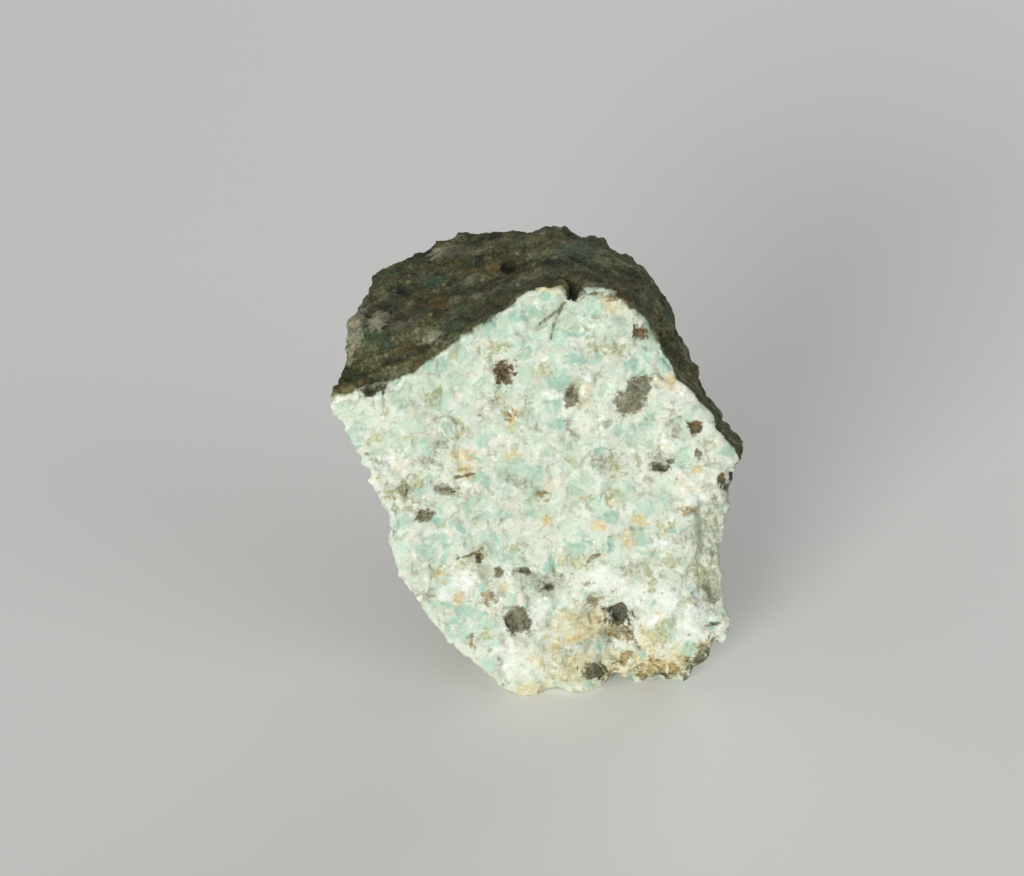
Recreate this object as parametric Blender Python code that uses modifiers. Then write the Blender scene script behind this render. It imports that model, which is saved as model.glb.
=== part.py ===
"""Rough amazonite: one hand-sized chip of coarse, grainy amazonite rock.

A freshly broken, pale face looks to -Y and leans back a little. A dull weathered skin covers the
top, which rises away from the broken face, and runs down the right shoulder and the back. Below the
widest height the stone is undercut all round, and it stands on one small flat spot at z = 0.

The stone is built in millimetres from its corners: their hull is the rough block, broad pushes make
its hollows, notches and ledges, and a layered relief makes the broken grains. The base is then cut
flat, and the origin is put at the middle of the stone's box, on the floor.
"""

import bmesh
import bpy
from mathutils import Matrix, Vector, noise

MM = 0.001

# Driving dimensions, in millimetres
FACE_LEAN = 0.20  # how far the broken face goes back for each millimetre of height
FACE_YAW = 0.10  # how far it goes back for each millimetre to the right
REST_SINK = 0.7  # how far the base corners lie below the cut that makes the rest spot
SCULPT_GRID = 0.55  # spacing of the points that are sculpted
TRIANGLES = 9000  # about how many the finished stone keeps

# Relief, in millimetres: the size of one swell, facet or grain, and how far it stands out
SWELL_SIZE, SWELL_HEIGHT = 8.0, 0.7
FACET_SIZE, FACET_TILT = 3.0, 0.10
FACET_SHUFFLE = 17.0  # spreads the facets' middles apart, so that each takes a tilt of its own
GRAIN_SIZE, GRAIN_HEIGHT = 1.5, 0.12
GRAIN_START = Vector((5.0, 9.0, 2.0))  # where the grain begins in its noise
CALM_HEIGHT = 2.5  # the relief fades to nothing over this height above the floor

# Rim of the broken face as (x, z), round from its left corner over the bottom to the right and the top
FACE_RIM = (
    (-18.9, 29.3), (-18.7, 28.0), (-13.4, 16.6), (-13.1, 14.7), (-12.6, 12.4), (-11.5, 10.1),
    (-9.8, 7.7), (-7.7, 5.3), (-5.2, 2.8), (-3.5, 1.2), (-1.5, 0.0), (4.5, 0.2),
    (13.0, 0.9), (14.7, 2.0), (16.6, 3.9), (17.7, 5.2), (17.4, 22.6), (15.3, 25.2),
    (13.1, 28.4), (10.6, 32.8), (8.4, 36.6), (5.6, 37.8), (2.0, 38.2), (-0.8, 37.8),
)
# Far edge of the weathered top as (x, y, z), from the left over the highest point to the right corner
CROWN = (
    (-17.4, 10.4, 31.0), (-17.1, 13.8, 31.6), (-16.3, 17.4, 32.1), (-15.0, 20.8, 32.8),
    (-12.2, 22.3, 33.3), (-8.2, 23.5, 35.0), (-3.3, 22.2, 36.6), (2.2, 20.2, 38.1),
    (6.0, 19.2, 36.8), (9.2, 17.5, 35.3), (11.2, 15.9, 33.9), (18.6, 8.2, 22.4),
    (18.7, 8.9, 21.2),
)
# Corners of the hidden back and sides as (x, y, z)
BACK = (
    (-15.2, 11.0, 22.0), (-13.5, 19.5, 26.5), (-8.0, 24.2, 26.0), (-0.5, 25.0, 22.0),
    (8.0, 22.0, 23.0), (13.4, 16.5, 20.0), (17.0, 11.0, 15.5), (-11.5, 8.0, 13.0),
    (-9.0, 16.0, 11.5), (-3.0, 20.5, 9.5), (5.0, 20.8, 8.0), (11.0, 16.5, 6.5),
    (15.0, 10.5, 5.5), (-8.0, 7.0, 6.5), (17.2, 6.5, 6.0), (14.4, 5.0, 2.2),
)
# Corners of the rest spot as (x, y)
REST_SPOT = (
    (-3.4, 5.5), (-4.0, 10.5), (-1.2, 15.4), (4.0, 17.0), (8.6, 14.5), (11.2, 9.5),
    (11.6, 4.5), (9.6, 2.0), (4.0, 1.0), (-0.8, 0.9), (-2.4, 2.4),
)

# Pushes that make hollows and lumps. Each moves the surface near a line from one point to another:
# start, end, how far round the line it reaches, and how far the surface on the line moves.
PUSHES = (
    # Broken face: the dark hollow low on the right, and its valley down to the notch in the bottom
    ((7.6, 1.8, 7.2), (6.4, 1.6, 7.4), 2.8, (0.0, 1.3, 0.0)),
    ((7.6, 1.4, 5.6), (7.2, 0.8, 1.5), 2.0, (0.0, 1.0, 0.0)),
    ((7.3, 0.8, 0.4), (7.3, 3.0, 0.2), 2.6, (0.0, 0.3, 2.0)),
    # Bottom edge: the gap beside the left foot, and the low arch between the two right lumps
    ((1.8, 0.0, 0.0), (2.0, 2.0, 0.0), 1.6, (0.0, 0.3, 1.3)),
    ((10.0, 0.8, 0.4), (10.4, 2.5, 0.2), 2.2, (0.0, 0.2, 0.9)),
    # Lumps left and right of the hollow
    ((3.2, 1.0, 3.4), (4.6, 0.8, 2.4), 2.6, (0.0, -0.7, 0.0)),
    ((12.4, 2.2, 6.0), (11.8, 1.8, 3.4), 3.6, (0.0, -0.6, 0.0)),
    # Broad swells and dips over the rest of the face
    ((-9.0, 4.2, 24.0), (-3.0, 4.8, 22.0), 5.5, (0.0, -0.5, 0.0)),
    ((-3.0, 3.0, 14.0), (3.0, 3.2, 12.5), 4.0, (0.0, 0.6, 0.0)),
    ((10.5, 6.2, 25.0), (13.0, 5.8, 21.5), 3.6, (0.0, 0.5, 0.0)),
    ((-14.0, 4.6, 28.4), (-11.5, 4.6, 27.4), 3.0, (0.0, -0.4, 0.0)),
    # Right side: the waist, the worn-back edge beside it, and the underside of the corner above it
    ((18.0, 7.5, 16.5), (17.8, 7.0, 9.0), 6.0, (-1.0, 0.0, 0.0)),
    ((16.8, 4.6, 16.0), (16.6, 3.9, 9.5), 3.4, (-0.4, 0.9, 0.0)),
    ((18.2, 6.0, 19.4), (18.2, 10.0, 19.0), 2.2, (-0.5, 0.0, 0.8)),
    # Left edge: a broad bite and a smaller one above it
    ((-15.4, 3.4, 19.8), (-14.8, 6.5, 19.8), 4.5, (1.5, 0.1, 0.0)),
    ((-17.6, 4.0, 24.4), (-16.8, 6.5, 24.4), 3.4, (0.9, 0.0, 0.0)),
    # Top rim: the notch and the thin tooth to its left, then the long sag to the left corner
    ((3.0, 7.4, 38.2), (3.2, 9.0, 38.2), 1.3, (0.0, 0.3, -1.4)),
    ((0.2, 7.6, 38.0), (1.2, 7.6, 38.2), 1.5, (0.0, -0.2, 0.4)),
    ((-14.5, 7.0, 32.0), (-4.5, 8.4, 36.4), 4.0, (0.0, 0.2, -0.9)),
    ((-17.8, 7.2, 31.0), (-17.2, 7.6, 31.2), 2.2, (0.7, 0.0, -0.7)),
    ((-14.6, 4.9, 30.5), (-13.4, 5.0, 30.7), 1.6, (0.0, 0.8, 0.0)),
    # Weathered top: its broad hollow, a small deep pit, and low knobs along the far edge
    ((-10.0, 14.5, 34.0), (-3.0, 14.5, 36.8), 6.5, (0.0, 0.0, -1.1)),
    ((-2.9, 15.0, 36.4), (-2.3, 14.9, 36.6), 1.3, (0.0, 0.0, -1.0)),
    ((-11.0, 10.5, 33.0), (-9.5, 11.0, 34.0), 2.6, (0.0, 0.0, 0.5)),
    ((4.0, 14.0, 38.2), (7.0, 13.0, 37.6), 3.5, (0.0, 0.0, -0.6)),
    ((-8.6, 22.6, 34.9), (-7.0, 22.8, 35.1), 2.2, (0.0, 0.2, 0.3)),
    ((6.8, 18.6, 37.0), (7.6, 18.6, 36.6), 1.4, (0.0, 0.0, -0.6)),
    # Right shoulder
    ((14.2, 12.0, 29.4), (16.8, 10.2, 25.2), 5.0, (-0.6, -0.1, -0.4)),
    ((11.6, 10.4, 33.0), (13.4, 9.0, 29.6), 2.6, (-0.5, 0.3, -0.4)),
    # Back: a slanting ledge, a scoop under it, and flake scars at both ends
    ((-7.0, 25.5, 30.5), (7.0, 24.0, 25.5), 4.0, (0.0, 1.0, 0.4)),
    ((-4.0, 25.0, 16.5), (6.0, 24.0, 14.5), 6.0, (0.0, -2.0, 0.0)),
    ((-14.5, 17.0, 29.0), (-12.5, 19.5, 24.0), 5.0, (1.1, -1.0, 0.0)),
    ((13.0, 17.0, 15.0), (15.0, 13.0, 10.0), 5.0, (-1.2, -0.8, 0.0)),
    ((-10.0, 11.0, 10.0), (-6.0, 14.0, 6.0), 4.0, (0.9, -0.5, 0.3)),
)


def face_y(x, z):
    """Depth of the broken face's plane at this place."""
    return FACE_LEAN * z + FACE_YAW * x


def corner_points():
    """Every corner of the rough block."""
    face = [(x, face_y(x, z), z) for x, z in FACE_RIM]
    rest = [(x, y, -REST_SINK) for x, y in REST_SPOT]
    return [*face, *CROWN, *BACK, *rest]


def rough_block(name):
    """The hull of the corners, as an object."""
    bm = bmesh.new()
    for point in corner_points():
        bm.verts.new(point)
    hull = bmesh.ops.convex_hull(bm, input=bm.verts)
    inside = [part for part in hull["geom_interior"] if isinstance(part, bmesh.types.BMVert)]
    bmesh.ops.delete(bm, geom=inside, context="VERTS")
    bmesh.ops.recalc_face_normals(bm, faces=bm.faces)
    mesh = bpy.data.meshes.new(name)
    bm.to_mesh(mesh)
    bm.free()
    return bpy.data.objects.new(name, mesh)


def apply_modifiers(stone):
    """Puts the modifiers' result in place of the stone's mesh."""
    graph = bpy.context.evaluated_depsgraph_get()
    mesh = bpy.data.meshes.new_from_object(stone.evaluated_get(graph))
    old = stone.data
    stone.modifiers.clear()
    stone.data = mesh
    mesh.name = stone.name
    bpy.data.meshes.remove(old)


def even_grid(stone, spacing):
    """Covers the stone with evenly spaced points."""
    modifier = stone.modifiers.new("even grid", "REMESH")
    modifier.mode = "VOXEL"
    modifier.voxel_size = spacing
    apply_modifiers(stone)


def distance_to_line(point, start, end):
    along = end - start
    share = max(0.0, min(1.0, (point - start).dot(along) / along.length_squared))
    return (point - start - along * share).length


def pushed(point):
    """The point after every push that reaches it."""
    moved = point.copy()
    for start, end, reach, push in PUSHES:
        near = distance_to_line(point, Vector(start), Vector(end)) / reach
        if near < 1.0:
            moved += Vector(push) * (1.0 - near * near) ** 2
    return moved


def facet_height(point):
    """Height of the flat, tilted facet that this point lies on: each facet is one broken crystal."""
    place = point / FACET_SIZE
    _, seeds = noise.voronoi(place)
    tilt = noise.cell_vector(seeds[0] * FACET_SHUFFLE) * 2.0 - Vector((1.0, 1.0, 1.0))
    return tilt.dot(place - seeds[0]) * FACET_SIZE * FACET_TILT


def relief_height(point):
    """How far the broken surface stands out from the smooth shape here."""
    swell = noise.noise(point / SWELL_SIZE) * SWELL_HEIGHT
    grain = noise.noise(point / GRAIN_SIZE + GRAIN_START) * GRAIN_HEIGHT
    calm = max(0.0, min(1.0, point.z / CALM_HEIGHT))
    return (swell + facet_height(point) + grain) * calm


def sculpt(stone):
    """Moves every point by the pushes, then along its normal by the relief."""
    mesh = stone.data
    for vertex in mesh.vertices:
        vertex.co = pushed(vertex.co)
    mesh.update()
    moves = [vertex.normal * relief_height(vertex.co) for vertex in mesh.vertices]
    for vertex, move in zip(mesh.vertices, moves):
        vertex.co += move
    mesh.update()


def thin_out(stone, triangles):
    """Thins the grid out to about this many triangles. Each of the grid's faces counts as two."""
    modifier = stone.modifiers.new("fewer triangles", "DECIMATE")
    modifier.ratio = triangles / (2.0 * len(stone.data.polygons))
    apply_modifiers(stone)


def cut_rest_spot(stone):
    """Cuts the base off flat at z = 0 and closes the cut with one face."""
    bm = bmesh.new()
    bm.from_mesh(stone.data)
    every = [*bm.verts, *bm.edges, *bm.faces]
    cut = bmesh.ops.bisect_plane(bm, geom=every, plane_co=(0, 0, 0), plane_no=(0, 0, -1), clear_outer=True)
    rim = [part for part in cut["geom_cut"] if isinstance(part, bmesh.types.BMEdge)]
    bmesh.ops.contextual_create(bm, geom=rim)
    bmesh.ops.triangulate(bm, faces=bm.faces)
    bmesh.ops.recalc_face_normals(bm, faces=bm.faces)
    bm.to_mesh(stone.data)
    bm.free()


def put_origin_under_middle(stone):
    """Makes the mesh metres, with the origin at the bottom middle of its box."""
    points = [vertex.co for vertex in stone.data.vertices]
    middle = [(min(p[axis] for p in points) + max(p[axis] for p in points)) / 2.0 for axis in (0, 1)]
    stone.data.transform(Matrix.Translation((-middle[0], -middle[1], 0.0)))
    stone.data.transform(Matrix.Scale(MM, 4))
    print("middle of the box in the corner frame, mm:", [round(value, 4) for value in middle])


def amazonite_material():
    """Pale green and white feldspar, dry and rough."""
    material = bpy.data.materials.new("amazonite")
    material.use_nodes = True
    shader = material.node_tree.nodes["Principled BSDF"]
    shader.inputs["Base Color"].default_value = (0.56, 0.72, 0.64, 1.0)
    shader.inputs["Roughness"].default_value = 0.7
    shader.inputs["Metallic"].default_value = 0.0
    return material


def main():
    for thing in list(bpy.data.objects):
        bpy.data.objects.remove(thing)
    collection = bpy.data.collections.new("rough amazonite")
    bpy.context.scene.collection.children.link(collection)
    stone = rough_block("amazonite")
    collection.objects.link(stone)
    even_grid(stone, SCULPT_GRID)
    sculpt(stone)
    thin_out(stone, TRIANGLES)
    cut_rest_spot(stone)
    put_origin_under_middle(stone)
    stone.data.materials.append(amazonite_material())


main()
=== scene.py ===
"""Looks of the rough amazonite: its fine crystal relief, its minerals and stains, and the pale set."""

import math

import bpy
import numpy as np
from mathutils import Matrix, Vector


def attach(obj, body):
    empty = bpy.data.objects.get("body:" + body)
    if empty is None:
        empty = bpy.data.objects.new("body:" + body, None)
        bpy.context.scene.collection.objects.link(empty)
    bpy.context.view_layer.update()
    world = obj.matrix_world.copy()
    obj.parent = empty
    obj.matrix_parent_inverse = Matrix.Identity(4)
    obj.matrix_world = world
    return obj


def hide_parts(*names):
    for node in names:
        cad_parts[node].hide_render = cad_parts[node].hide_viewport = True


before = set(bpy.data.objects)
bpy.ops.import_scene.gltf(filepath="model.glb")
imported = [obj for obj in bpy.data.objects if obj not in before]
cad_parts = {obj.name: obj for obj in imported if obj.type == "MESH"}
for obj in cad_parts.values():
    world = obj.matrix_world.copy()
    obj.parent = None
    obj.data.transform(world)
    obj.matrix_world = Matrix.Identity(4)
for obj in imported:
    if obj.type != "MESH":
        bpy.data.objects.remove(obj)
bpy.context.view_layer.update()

MM = 0.001

# Camera, fitted to the photograph, in the stone's frame
PHOTO_WIDTH, PHOTO_HEIGHT = 1024, 876
SENSOR_WIDTH = 36.0
FOCAL_PIXELS = 3924.0
CAMERA_PLACE = Vector((-2.399, -311.142, 201.510)) * MM
CAMERA_DROP = math.radians(30.25)  # how far the camera looks below the horizon

# The broken face's plane, as part of the stone's own shape: y = lean z + yaw x + start, in millimetres
FACE_LEAN = 0.20
FACE_YAW = 0.10
FACE_START = -12.50

# The fine mesh, in millimetres
MERGE_DISTANCE = 0.001
FINE_GRID = 0.235
SMOOTHING_ROUNDS = 3
SHARP_ANGLE = math.radians(40.0)

# Crystals, in millimetres, with how far noise of a size pushes their borders about, and the facets' slopes
GRAIN_SIZE = 2.0  # one feldspar crystal
CHIP_SIZE = 0.9  # one small cleavage chip
WARP_SIZE, WARP = 2.2, 2.0
FRAY_SIZE, FRAY = 0.6, 0.45
GRAIN_TILT = 0.16
CHIP_TILT = 0.15
FACETS_ON_SKIN = 0.45  # the share of their height that is left there

# Relief, in millimetres
ROUGH_SIZE, ROUGH_HEIGHT = 1.1, 0.1
LUMP_SIZE, LUMP_HEIGHT = 3.0, 2.0
SKIN_RELIEF = 0.42  # the share of the roughness and the lumps that the skin takes
CALM_FROM, CALM_HEIGHT = 0.05, 1.2  # the relief grows between these heights above the ground
RESTING_HEIGHT = 0.02  # what is lower belongs to the flat resting spot
CRACK_DEPTH = 0.3
CRACK_FLARE = 2.8  # how many times wider the groove is than the dark line in it
CARVING_FADE = 1.5  # the carving fades out below this height

# The skin's lower edge, in millimetres: its height at the face, its fall for each millimetre behind the
# face, its further fall beyond SKIN_BACK behind it, and its rise beyond SKIN_LEFT to the left
SKIN_FOOT = 19.0
SKIN_FALL = 0.45
SKIN_BACK, SKIN_BACK_FALL = 5.0, 0.85
SKIN_LEFT, SKIN_LEFT_RISE = 8.0, 0.9
SKIN_FADE, SKIN_FADE_GROWTH, SKIN_FADE_DEPTH = 4.0, 0.35, 14.0
OFF_FACE_BY_DEPTH, OFF_FACE_BY_TURN = 0.5, 0.9
OFF_FACE_FROM, OFF_FACE_RANGE = 0.55, 0.5
AGED_FROM, AGED_TO = 4.0, 9.0  # between these distances behind the face the break grows old

# Marks on the side that the photograph shows, by mineral, with painted shade and painted highlights in some
# rows. Each row has the mark's middle as a photo pixel, its half width and half height in pixels (a pixel is
# about 0.09 mm) and its turn in degrees.
TEAL = (
    ((545, 298), (8, 6), 20),
    ((517, 316), (9, 9), 0),
    ((492, 323), (10, 5), 20),
    ((467, 342), (5, 4), 0),
    ((518, 345), (8, 3), 10),
    ((580, 335), (12, 4), 0),
    ((576, 359), (11, 6), 0),
    ((632, 365), (8, 6), 20),
    ((664, 365), (5, 9), 30),
    ((611, 545), (4, 11), -5),
    ((437, 520), (6, 6), 0),
    ((461, 530), (4, 9), 30),
    ((445, 605), (7, 3), 10),
    ((486, 483), (6, 5), 0),
    ((440, 512), (4, 4), 0),
    ((433, 280), (14, 7), 0),
    ((388, 344), (6, 4), 0),
)
MINT = (
    ((594, 306), (11, 10), 0),
    ((503, 333), (8, 7), 40),
    ((558, 339), (11, 10), 0),
    ((556, 372), (8, 8), 0),
    ((645, 353), (9, 7), 0),
    ((537, 337), (6, 4), 0),
    ((550, 326), (5, 4), 0),
    ((401, 522), (9, 8), 0),
    ((403, 548), (7, 7), 0),
    ((640, 508), (7, 7), 0),
    ((685, 453), (8, 8), 0),
    ((463, 636), (9, 7), 30),
    ((502, 515), (10, 7), 0),
    ((482, 616), (7, 7), 0),
    ((489, 664), (9, 8), 0),
    ((622, 432), (9, 8), 0),
    ((495, 642), (8, 5), 0),
    ((443, 539), (7, 6), 0),
    ((520, 468), (8, 9), 0),
    ((628, 487), (6, 7), 0),
    ((574, 250), (22, 9), 10),
    ((661, 351), (5, 5), 0),
)
PALE = (
    ((605, 388), (15, 10), 0),
    ((484, 388), (7, 10), -10),
    ((466, 405), (10, 9), 0),
    ((436, 457), (8, 7), 0),
    ((416, 450), (10, 8), 20),
    ((377, 447), (8, 11), 10),
    ((544, 412), (10, 10), 0),
    ((448, 500), (9, 6), 0),
    ((600, 511), (11, 9), 0),
    ((668, 488), (11, 9), 0),
    ((602, 540), (8, 9), 0),
    ((621, 547), (6, 9), 0),
    ((605, 640), (9, 7), 0),
    ((610, 328), (13, 14), 0),
    ((440, 385), (9, 7), 0),
    ((360, 415), (11, 9), 0),
    ((570, 445), (13, 10), 0),
    ((490, 430), (9, 7), 0),
    ((533, 440), (12, 9), 0),
    ((583, 480), (12, 10), 0),
    ((640, 440), (11, 9), 0),
    ((470, 540), (10, 8), 0),
    ((560, 530), (12, 9), 0),
    ((520, 560), (11, 8), 0),
    ((655, 405), (9, 8), 0),
    ((410, 425), (11, 8), 0),
    ((470, 365), (11, 8), 20),
    ((430, 610), (9, 8), 0),
)
# White crystals, with painted highlights and painted light in the rows marked below
WHITE_AND_HIGHLIGHT = (
    ((462, 581), (12, 11), 0),
    ((444, 594), (8, 7), 0),
    ((506, 653), (15, 14), 0),
    ((633, 597), (20, 14), 10),
    ((697, 498), (12, 8), 0),
    # The next two: painted glints on cleavage faces
    ((587, 377), (4, 5), 0),
    ((599, 381), (5, 4), 0),
    ((700, 605), (16, 14), 0),
    ((600, 580), (13, 12), 0),
    ((553, 396), (10, 6), 0),
    ((390, 460), (6, 9), 0),
    # painted glint
    ((660, 545), (10, 6), 0),
    # painted glint
    ((466, 485), (4, 4), 0),
    ((612, 606), (9, 3), -10),
    # The next four: painted light on the skin at the upper left, which faces the light
    ((354, 332), (9, 30), -12),
    ((378, 322), (12, 9), 20),
    ((442, 252), (14, 6), 20),
    ((432, 338), (10, 6), 20),
    ((668, 600), (20, 14), 0),
    ((690, 632), (16, 11), 0),
    ((650, 622), (11, 9), 0),
    ((612, 588), (15, 11), 0),
    ((655, 645), (13, 7), 10),
    ((540, 612), (9, 12), 0),
)
SMOKY = (
    ((631, 401), (17, 14), 20),
    ((640, 386), (14, 11), 20),
    ((572, 397), (8, 12), -15),
    ((424, 516), (12, 6), 20),
    ((517, 620), (13, 15), 0),
    ((499, 572), (5, 6), 0),
    ((455, 253), (12, 7), 20),
    ((402, 318), (14, 11), 0),
)
# Grey green haze on the rock, with painted shade in the rows marked below
HAZE_AND_SHADE = (
    ((675, 427), (10, 14), -10),
    ((662, 461), (12, 9), -20),
    ((605, 462), (16, 10), 0),
    ((541, 580), (22, 10), -15),
    ((628, 568), (8, 7), 0),
    ((580, 617), (13, 10), 0),
    ((563, 663), (15, 16), 0),
    ((426, 462), (8, 7), 0),
    ((441, 445), (9, 6), 0),
    ((428, 596), (9, 5), 0),
    ((495, 400), (8, 9), 0),
    # The next two: painted shade on the facets right of the groove, which face away from the light
    ((711, 588), (14, 28), 10),
    ((712, 528), (9, 34), 0),
    ((548, 583), (12, 9), -20),
    ((405, 486), (16, 8), 25),
    ((518, 482), (14, 7), -20),
    ((595, 635), (16, 10), 0),
    ((448, 489), (15, 6), -15),
)
# Dark grains and holes, with painted shade in the rows marked below
DARK_AND_SHADE = (
    ((593, 671), (13, 9), 0),
    ((618, 615), (14, 10), -10),
    ((511, 626), (6, 7), -20),
    ((527, 624), (4, 12), 5),
    ((550, 587), (6, 4), 0),
    ((570, 391), (4, 5), 0),
    ((659, 468), (9, 4), -10),
    # painted shade in the hollow under the left rim
    ((376, 386), (15, 8), 25),
    ((671, 462), (5, 4), 0),
    ((698, 453), (4, 5), 0),
    ((714, 624), (5, 3), 0),
    ((509, 267), (8, 6), 20),
    ((479, 258), (5, 4), 0),
    # painted shadow in the notch at the top of the face
    ((576, 292), (9, 7), -20),
    # painted shade on the underside at the lower right
    ((700, 664), (22, 8), 45),
    ((660, 677), (10, 4), 10),
    ((525, 571), (6, 4), -20),
    ((592, 676), (8, 5), 0),
    ((401, 290), (10, 6), 0),
    ((494, 236), (9, 4), 0),
)
BROWN = (
    ((504, 373), (12, 13), 0),
    ((640, 333), (8, 8), 0),
    ((695, 428), (7, 7), 0),
    ((722, 480), (4, 8), 0),
    ((402, 317), (8, 6), 0),
    ((620, 296), (10, 4), -30),
)
# Umber brown grains, with painted shade in the rows marked below
UMBER_AND_SHADE = (
    ((594, 601), (9, 6), -10),
    ((479, 555), (5, 5), 0),
    ((688, 511), (8, 6), -20),
    ((488, 599), (7, 9), 0),
    ((587, 584), (5, 4), 0),
    ((542, 496), (8, 4), -20),
    ((508, 414), (6, 5), -30),
    # The next three: painted shade on the underside along the bottom edge
    ((608, 674), (12, 6), 0),
    ((668, 675), (32, 9), 0),
    ((698, 660), (22, 10), 45),
    ((640, 668), (7, 4), 20),
    ((626, 657), (4, 8), -20),
    ((655, 660), (7, 4), -10),
    # painted shade on the underside
    ((612, 682), (12, 6), 10),
    ((618, 628), (14, 12), -30),
    ((472, 641), (5, 5), 0),
    ((613, 298), (10, 5), -20),
)
OCHRE = (
    ((463, 456), (12, 7), -10),
    ((467, 470), (9, 8), -30),
    ((504, 586), (5, 4), 0),
    ((458, 598), (6, 6), 0),
    ((440, 578), (5, 5), 0),
    ((640, 523), (8, 7), 0),
    ((628, 541), (6, 10), 0),
    ((671, 382), (6, 7), 0),
    ((696, 470), (4, 5), 0),
    ((539, 659), (8, 7), 0),
    ((570, 640), (8, 6), 30),
    ((651, 664), (18, 10), 0),
    ((512, 421), (5, 10), -10),
    ((438, 304), (14, 5), 10),
    ((494, 269), (6, 6), 0),
    ((638, 405), (5, 5), 0),
    ((555, 647), (12, 6), 30),
    ((675, 668), (13, 8), 0),
    ((600, 525), (9, 5), 0),
    ((548, 522), (6, 5), 0),
    ((513, 455), (8, 6), 20),
)
# Olive grey grains, with painted shade in the rows marked below
OLIVE_AND_SHADE = (
    ((442, 571), (10, 6), 0),
    ((414, 439), (9, 4), 0),
    ((377, 438), (8, 4), 30),
    ((434, 397), (6, 9), -30),
    # The next two: painted shade in the shallow groove at the left
    ((399, 491), (14, 5), 20),
    ((416, 481), (12, 5), 30),
    ((667, 527), (8, 9), 0),
    ((671, 561), (9, 8), 0),
    ((563, 560), (10, 6), 20),
    ((578, 563), (7, 8), 0),
    ((662, 633), (9, 13), 0),
    ((652, 586), (4, 7), 0),
    ((684, 602), (7, 4), 0),
    ((618, 471), (7, 5), -40),
    ((610, 456), (5, 3), 30),
    ((530, 356), (6, 3), 20),
    ((456, 420), (7, 3), -30),
    ((585, 498), (6, 3), 15),
    ((650, 480), (5, 3), -20),
    ((478, 520), (6, 3), 30),
    ((515, 545), (7, 3), 20),
    ((500, 347), (11, 5), 0),
    ((590, 345), (5, 6), 0),
    ((486, 636), (5, 7), 0),
    ((543, 370), (7, 5), 0),
    # painted shade in the right groove
    ((700, 572), (6, 14), 10),
    ((463, 432), (10, 4), 35),
    ((614, 349), (14, 5), 0),
    ((470, 561), (14, 5), 25),
    ((577, 401), (10, 7), 0),
    ((530, 240), (30, 8), 0),
    # painted shade under the left rim
    ((345, 390), (12, 5), 10),
)

# Hairline cracks on that side, and one painted shadow line: photo pixels along each, then its half width in
# pixels
CRACKS_AND_SHADOW_LINE = (
    (((566, 302), (556, 312), (540, 325)), 1.4),
    (((562, 306), (555, 322), (551, 338)), 1.4),
    (((456, 478), (466, 475), (474, 474)), 1.4),
    (((412, 521), (422, 515), (433, 512)), 1.6),
    (((436, 489), (449, 490), (462, 495)), 1.4),
    (((456, 559), (470, 555), (479, 551), (479, 561)), 1.4),
    (((626, 625), (633, 638), (641, 650)), 1.4),
    (((406, 482), (406, 497)), 1.4),
    (((586, 564), (590, 559), (600, 555)), 1.4),
    (((705, 626), (714, 625), (721, 623)), 1.4),
    # a painted shadow line under the crest right of the notch
    (((579, 299), (590, 294), (604, 293)), 1.3),
)

# Hollows (depth above 0) and lumps (below 0) on that side: photo pixel, half sizes, turn, depth in
# millimetres
DENTS = (
    ((618, 614), (17, 12), -10, 0.9),
    ((376, 386), (15, 8), 25, 0.7),
    ((504, 373), (10, 11), 0, 0.35),
    ((640, 333), (6, 6), 0, 0.25),
    ((695, 428), (6, 6), 0, 0.3),
    ((509, 267), (9, 7), 20, 1.1),
    ((594, 601), (7, 5), 0, 0.3),
    ((517, 621), (11, 13), 0, 0.25),
    ((702, 528), (7, 36), 5, 0.9),
    ((712, 588), (10, 20), 10, 1.0),
    ((690, 500), (10, 12), 30, -0.3),
    ((708, 557), (6, 13), 0, -0.7),
    ((631, 395), (13, 14), 0, -0.3),
    ((600, 640), (12, 10), 0, -0.4),
    ((660, 466), (12, 6), 0, 0.4),
    ((447, 491), (16, 5), -15, 0.4),
    ((405, 490), (12, 7), 20, 0.35),
    ((420, 478), (18, 5), 30, 0.3),
    ((462, 472), (14, 8), 0, -0.25),
    ((478, 556), (8, 4), 0, 0.4),
    ((613, 327), (13, 14), 0, -0.3),
    ((640, 523), (12, 10), 30, 0.3),
)

# Small shifts of the outline on that side: photo pixel, half sizes, turn, then pixels to the right and down
NUDGES = (
    ((343, 342), (16, 24), 0, (4, 0)),
    ((349, 436), (14, 16), 0, (-6, 2)),
    ((365, 472), (12, 12), 0, (5, 0)),
    ((383, 524), (16, 22), 0, (8, 0)),
    ((399, 578), (12, 22), 0, (-3, 2)),
    ((543, 691), (9, 10), 0, (0, -6)),
    ((615, 673), (10, 9), 0, (0, -5)),
    ((638, 679), (14, 10), 0, (0, -9)),
    ((684, 674), (20, 12), -30, (5, 7)),
    ((718, 649), (10, 10), 0, (-4, -3)),
    ((697, 368), (10, 14), 0, (4, 0)),
    ((714, 409), (14, 20), 0, (6, -1)),
    ((576, 231), (18, 10), 0, (0, 6)),
    ((555, 224), (12, 10), 0, (0, 4)),
    ((605, 241), (8, 8), 0, (2, -3)),
    ((450, 237), (16, 9), 0, (0, 4)),
    ((427, 250), (14, 9), 0, (1, 3)),
    ((720, 583), (10, 22), 0, (3, 0)),
    ((560, 290), (9, 10), 0, (3, -2)),
    ((577, 296), (7, 8), 0, (0, 2)),
    ((344, 358), (9, 13), 0, (4, 0)),
    ((338, 412), (12, 14), 0, (-4, 0)),
    ((685, 345), (12, 18), 0, (3, -1)),
    ((727, 424), (8, 8), 0, (2, -2)),
    ((731, 492), (8, 14), 0, (-3, 0)),
    ((528, 228), (18, 8), 0, (0, 3)),
)

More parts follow.
